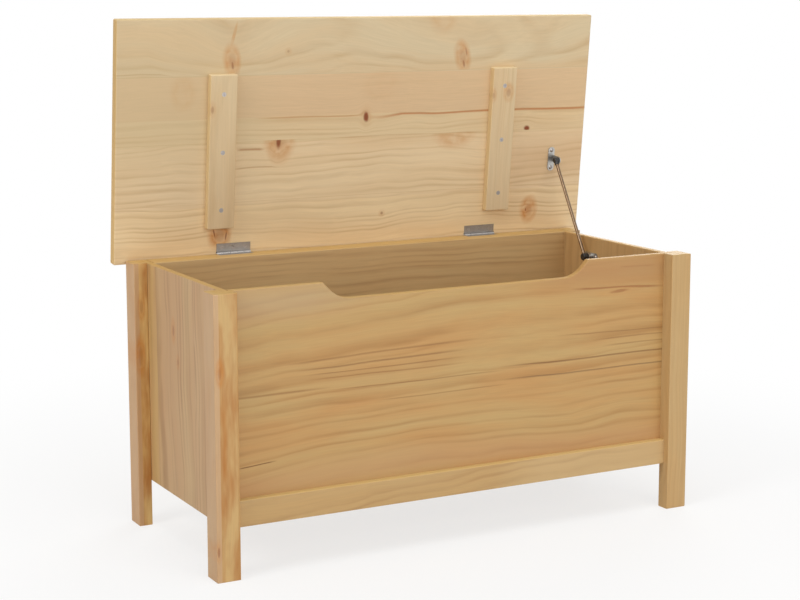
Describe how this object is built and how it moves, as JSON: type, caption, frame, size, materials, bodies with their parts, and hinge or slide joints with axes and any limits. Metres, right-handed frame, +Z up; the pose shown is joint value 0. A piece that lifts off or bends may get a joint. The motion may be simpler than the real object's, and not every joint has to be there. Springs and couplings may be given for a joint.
{
  "type": "storage chest",
  "caption": "Pine storage chest on corner legs with a hand scoop in its front edge and a battened, hinged lid that a sliding rod stay holds open.",
  "frame": {"origin": "on the floor under the middle of the part as it stands with its lid open", "axes": "+X along the chest to its right-hand end as seen from the front, +Y to the back, +Z up"},
  "size_m": [0.94, 0.4082, 0.8652],
  "materials": {
    "pine_lid": "clear satin lacquer",
    "pine_leg": "clear satin lacquer",
    "pine_front": "clear satin lacquer",
    "pine_side": "clear satin lacquer",
    "pine_inner": "clear satin lacquer",
    "beech_dowel": "raw",
    "screw_steel": "zinc plated",
    "hinge_steel": "zinc plated",
    "bracket_steel": "zinc plated",
    "rod_steel": "bright zinc",
    "black_plastic": "moulded"
  },
  "bodies": {
    "chest": {"leg_front_left": "pine_leg", "leg_front_right": "pine_leg", "leg_back_left": "pine_leg", "leg_back_right": "pine_leg", "front_panel": "pine_front", "front_rail": "pine_front", "side_panel_left": "pine_side", "side_panel_right": "pine_side", "back_panel": "pine_inner", "bottom_panel": "pine_inner", "hinge_rail": "pine_inner", "cleat_front": "pine_inner", "cleat_back": "pine_inner", "cleat_left": "pine_inner", "cleat_right": "pine_inner", "front_leg_dowels": "beech_dowel", "front_rail_dowels": "beech_dowel", "front_panel_screws": "screw_steel", "back_panel_screws": "screw_steel", "back_leg_screws": "screw_steel", "hinge_rail_screws": "screw_steel", "front_rail_screws": "screw_steel", "cleat_screws": "screw_steel", "bottom_screws": "screw_steel", "hinge_box_screws": "screw_steel", "stay_side_screws": "screw_steel", "hinge_box_leaf_left": "hinge_steel", "hinge_box_leaf_right": "hinge_steel", "hinge_pin_left": "hinge_steel", "hinge_pin_right": "hinge_steel", "stay_side_bracket": "bracket_steel"},
    "lid": {"lid_panel": "pine_lid", "batten_left": "pine_lid", "batten_right": "pine_lid", "batten_screws": "screw_steel", "hinge_lid_leaf_left": "hinge_steel", "hinge_lid_leaf_right": "hinge_steel", "hinge_lid_screws": "screw_steel", "stay_lid_bracket": "bracket_steel", "stay_lid_stud": "bracket_steel", "stay_lid_screws": "screw_steel"},
    "stay_rod": {"stay_rod": "rod_steel", "stay_rod_stop": "rod_steel", "stay_rod_socket": "black_plastic"},
    "stay_guide": {"stay_guide": "black_plastic"}
  },
  "joints": [
    {"name": "lid_hinge", "type": "hinge", "parent": "chest", "child": "lid", "pos_m": [0, 0.18541, 0.4563], "axis": [1, 0, 0], "range_deg": [0, 84]},
    {"name": "stay_guide_swivel", "type": "hinge", "parent": "chest", "child": "stay_guide", "pos_m": [0.4, 0.0515, 0.42042], "axis": [1, 0, 0], "range_deg": [0, 42]},
    {"name": "stay_rod_pivot", "type": "hinge", "parent": "lid", "child": "stay_rod", "pos_m": [0.4, 0.15343, 0.5912], "axis": [1, 0, 0], "range_deg": [-42, 0]}
  ],
  "couplings": [
    {"joint": "stay_guide_swivel", "follows": "lid_hinge", "ratio": 0.5},
    {"joint": "stay_rod_pivot", "follows": "lid_hinge", "ratio": -0.5}
  ]
}
